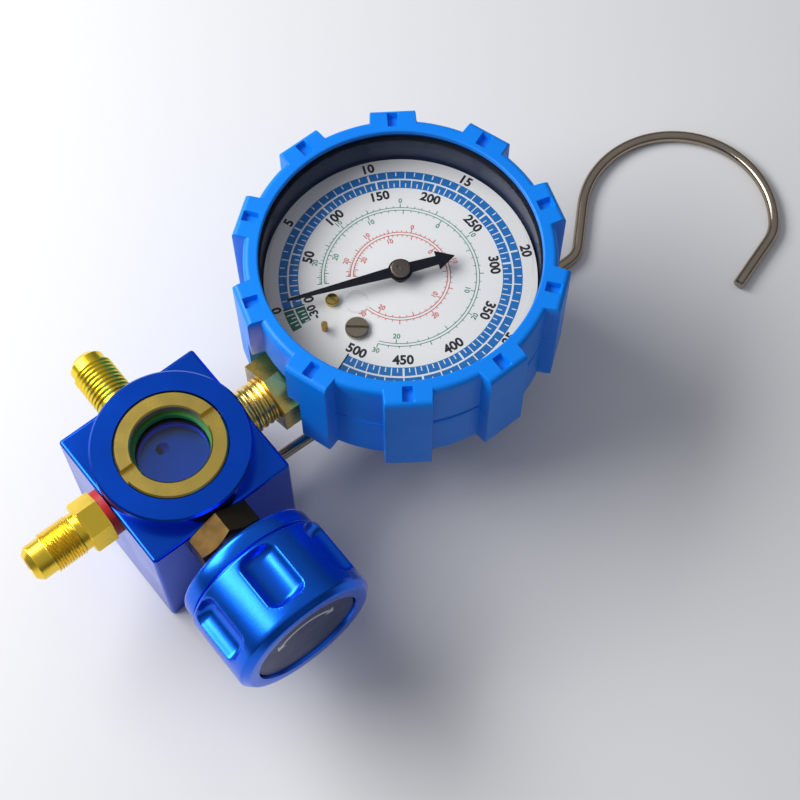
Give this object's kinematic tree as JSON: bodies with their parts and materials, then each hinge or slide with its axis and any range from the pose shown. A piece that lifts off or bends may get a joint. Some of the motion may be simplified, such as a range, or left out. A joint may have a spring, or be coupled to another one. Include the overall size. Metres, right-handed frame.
{
  "type": "refrigerant manifold gauge",
  "caption": "Pressure gauge in a ribbed rubber boot on a valve block with a sight glass, a hand knob, two flare hose ports and a swivelling wire hook",
  "frame": {"origin": "middle of the valve block's back face, which lies on the bench", "axes": "+X from the block to the hand knob, +Y from the block to the gauge, +Z out of the dial"},
  "size_m": [0.0996, 0.2366, 0.0607],
  "materials": {
    "blue_block": "blue anodised, smooth with fine turning marks",
    "blue_knob": "blue anodised, satin",
    "navy_cap": "dark anodised with a bright engraved arrow",
    "brass_ring": "turned, bright",
    "brass_fitting": "turned and threaded, bright",
    "brass_stem": "machined hexagon, bright",
    "brass_gland": "dulled",
    "brass_movement": "stamped and turned",
    "brass_screw": "turned",
    "steel_screw": "bright",
    "steel_stem": "polished",
    "spring_steel": "blued strip",
    "nickel_hook": "nickel plated, bright",
    "green_gasket": "matt",
    "red_washer": "satin",
    "white_packing": "matt",
    "black_gasket": "matt",
    "blue_boot": "soft matt",
    "painted_case": "black enamel",
    "clear_lens": "clear moulded",
    "sight_glass": "clear",
    "white_dial": "printed enamel",
    "black_pointer": "matt enamel",
    "steel_hub": "turned, dull"
  },
  "bodies": {
    "base": {"valve_block": "blue_block", "sight_ring": "brass_ring", "sight_gasket": "green_gasket", "sight_glass": "sight_glass", "end_port": "brass_fitting", "end_port_washer": "red_washer", "side_port": "brass_fitting", "gland_nut": "brass_gland", "gland_packing": "white_packing", "hook_set_screw": "steel_screw", "gauge_stem": "brass_stem", "gauge_case": "painted_case", "case_screws": "steel_screw", "boot": "blue_boot", "lens_gasket": "black_gasket", "lens": "clear_lens", "lens_plug": "clear_lens", "bourdon_tube": "brass_movement", "base_plate": "brass_movement", "top_plate": "brass_movement", "pillars": "brass_movement", "plate_screws": "steel_screw", "hairspring": "spring_steel", "dial_posts": "brass_movement", "dial": "white_dial", "stop_pin": "brass_movement", "dial_screw": "steel_screw"},
    "seat": {"seat_disc": "white_packing"},
    "handle": {"valve_stem": "steel_stem", "stem_orings": "black_gasket", "knob": "blue_knob", "knob_screw": "steel_screw", "knob_cap": "navy_cap"},
    "hook": {"hook": "nickel_hook"},
    "pointer": {"pinion": "steel_screw", "pointer": "black_pointer", "pointer_hub": "steel_hub"},
    "sector": {"sector_gear": "brass_movement"},
    "tip": {"tube_tip": "brass_movement", "link": "brass_movement"},
    "zero": {"zero_screw": "brass_screw"}
  },
  "joints": [
    {"name": "valve_lift", "type": "slide", "parent": "base", "child": "seat", "axis": [1, 0, 0], "range_m": [0, 0.003]},
    {"name": "knob_turn", "type": "hinge", "parent": "seat", "child": "handle", "pos_m": [0.0314, -0.002, 0.034], "axis": [1, 0, 0], "range_deg": [0, 720]},
    {"name": "hook_swivel", "type": "hinge", "parent": "base", "child": "hook", "pos_m": [0.006, 0.02075, 0.0105], "axis": [0, 1, 0], "continuous": true},
    {"name": "pointer_sweep", "type": "hinge", "parent": "base", "child": "pointer", "pos_m": [0, 0.0724, 0.051], "axis": [0, 0, 1], "range_deg": [-319, 12]},
    {"name": "sector_swing", "type": "hinge", "parent": "base", "child": "sector", "pos_m": [0.0083, 0.0599, 0.0425], "axis": [0, 0, 1], "range_deg": [-1.4, 35.5]},
    {"name": "tip_travel", "type": "slide", "parent": "base", "child": "tip", "axis": [0.833, 0.5533, 0], "range_m": [-0.00015, 0.00366], "deforming": ["bourdon_tube"]},
    {"name": "zero_adjust", "type": "hinge", "parent": "base", "child": "zero", "pos_m": [-0.0051, 0.0544, 0.049], "axis": [0, 0, 1], "range_deg": [-90, 90]}
  ],
  "couplings": [
    {"joint": "valve_lift", "follows": "knob_turn", "m_per_rad": 0.00023873},
    {"joint": "sector_swing", "follows": "pointer_sweep", "ratio": -0.11111},
    {"joint": "tip_travel", "follows": "pointer_sweep", "m_per_rad": -0.00065333}
  ]
}
